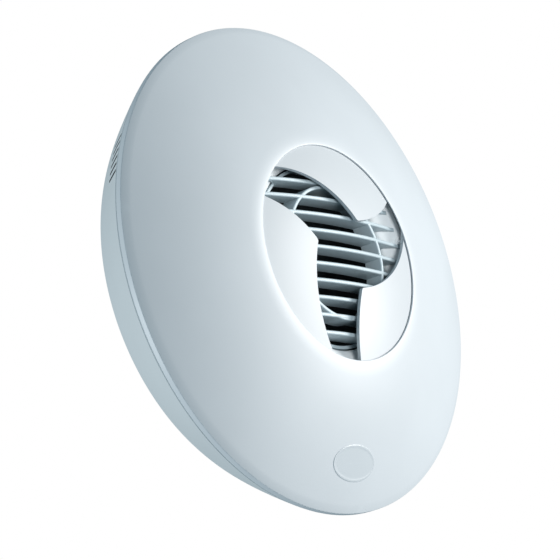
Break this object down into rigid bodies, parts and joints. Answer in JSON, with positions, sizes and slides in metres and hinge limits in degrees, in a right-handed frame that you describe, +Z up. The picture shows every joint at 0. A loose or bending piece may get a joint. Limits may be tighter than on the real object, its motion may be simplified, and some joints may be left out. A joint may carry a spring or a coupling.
{
  "type": "extractor fan",
  "caption": "Round white wall or ceiling extract fan with a domed cover, three-leaf motorised iris shutter, louvred inner grille, axial impeller and rear duct spigot.",
  "frame": {"origin": "centre of the duct spigot in the wall plane, which is the back face of the base", "axes": "-Y out of the front face towards the room, +Z up, +X to the right as seen from the front"},
  "size_m": [0.25, 0.1071, 0.25],
  "materials": {
    "cover_white": "satin white moulded ABS",
    "badge_white": "plain glossy oval badge",
    "base_white": "fine matt white moulded ABS",
    "duct_dark": "satin black moulded plastic",
    "grille_white": "satin white moulded plastic",
    "carrier_white": "moulded plastic",
    "leaf_white": "satin white moulded ABS",
    "ring_acetal": "natural acetal",
    "seal_rubber": "soft black rubber",
    "motor_steel": "zinc plated steel can",
    "winding_copper": "enamelled copper winding",
    "rotor_dark": "laminated rotor",
    "shaft_steel": "ground steel",
    "screw_steel": "zinc plated",
    "impeller_dark": "black glass filled plastic",
    "board_green": "solder mask",
    "component_dark": "moulded component bodies",
    "terminal_white": "nylon"
  },
  "bodies": {
    "casing": {"base_housing": "base_white", "spigot": "base_white", "spigot_seal": "seal_rubber", "air_duct": "duct_dark", "louvre_grille": "grille_white", "motor_bracket": "base_white", "motor_housing": "motor_steel", "motor_stator": "winding_copper", "rear_bearing": "shaft_steel", "front_bearing": "shaft_steel", "iris_carrier": "carrier_white", "iris_actuator": "motor_steel", "control_board": "board_green", "board_capacitor": "component_dark", "board_relay": "component_dark", "board_transformer": "component_dark", "board_fuse_holder": "component_dark", "terminal_block": "terminal_white", "terminal_cover": "carrier_white", "cable_clamp": "terminal_white", "cable_grommet": "seal_rubber", "leaf_pivot_pin_1": "shaft_steel", "cover_clip_1": "base_white", "duct_screw_1": "screw_steel", "carrier_screw_1": "screw_steel", "leaf_pivot_pin_2": "shaft_steel", "cover_clip_2": "base_white", "duct_screw_2": "screw_steel", "carrier_screw_2": "screw_steel", "leaf_pivot_pin_3": "shaft_steel", "cover_clip_3": "base_white", "duct_screw_3": "screw_steel", "carrier_screw_3": "screw_steel", "clamp_screw_1": "screw_steel", "clamp_screw_2": "screw_steel"},
    "cover": {"front_cover": "cover_white", "badge": "badge_white"},
    "drive_ring": {"iris_drive_ring": "ring_acetal"},
    "pinion": {"actuator_pinion": "ring_acetal"},
    "impeller_set": {"impeller": "impeller_dark", "impeller_cap": "impeller_dark", "motor_shaft": "shaft_steel", "motor_rotor": "rotor_dark"},
    "leaf_1": {"iris_leaf_1": "leaf_white"},
    "leaf_2": {"iris_leaf_2": "leaf_white"},
    "leaf_3": {"iris_leaf_3": "leaf_white"}
  },
  "joints": [
    {"name": "cover_pull_off", "type": "slide", "parent": "casing", "child": "cover", "axis": [0, -1, 0], "range_m": [0, 0.06]},
    {"name": "iris_ring_turn", "type": "hinge", "parent": "casing", "child": "drive_ring", "pos_m": [0, -0.0477, 0], "axis": [0, 1, 0], "range_deg": [0, 3.33]},
    {"name": "iris_leaf_1_turn", "type": "hinge", "parent": "casing", "child": "leaf_1", "pos_m": [-0.03963, -0.06249, 0.04371], "axis": [0.1676, 0.9684, -0.1848], "range_deg": [0, 19.75]},
    {"name": "iris_leaf_2_turn", "type": "hinge", "parent": "casing", "child": "leaf_2", "pos_m": [-0.01804, -0.06249, -0.05618], "axis": [0.0763, 0.9684, 0.2375], "range_deg": [0, 19.75]},
    {"name": "iris_leaf_3_turn", "type": "hinge", "parent": "casing", "child": "leaf_3", "pos_m": [0.05767, -0.06249, 0.01247], "axis": [-0.2438, 0.9684, -0.0527], "range_deg": [0, 19.75]},
    {"name": "actuator_pinion_turn", "type": "hinge", "parent": "casing", "child": "pinion", "pos_m": [0.07314, -0.0475, -0.04571], "axis": [0, 1, 0], "range_deg": [-44.5, 0]},
    {"name": "impeller_spin", "type": "hinge", "parent": "casing", "child": "impeller_set", "pos_m": [0, -0.007, 0], "axis": [0, -1, 0], "continuous": true}
  ],
  "couplings": [
    {"joint": "iris_leaf_1_turn", "follows": "iris_ring_turn", "ratio": 5.9159},
    {"joint": "iris_leaf_2_turn", "follows": "iris_ring_turn", "ratio": 5.9159},
    {"joint": "iris_leaf_3_turn", "follows": "iris_ring_turn", "ratio": 5.9159},
    {"joint": "actuator_pinion_turn", "follows": "iris_ring_turn", "ratio": -13.333}
  ]
}
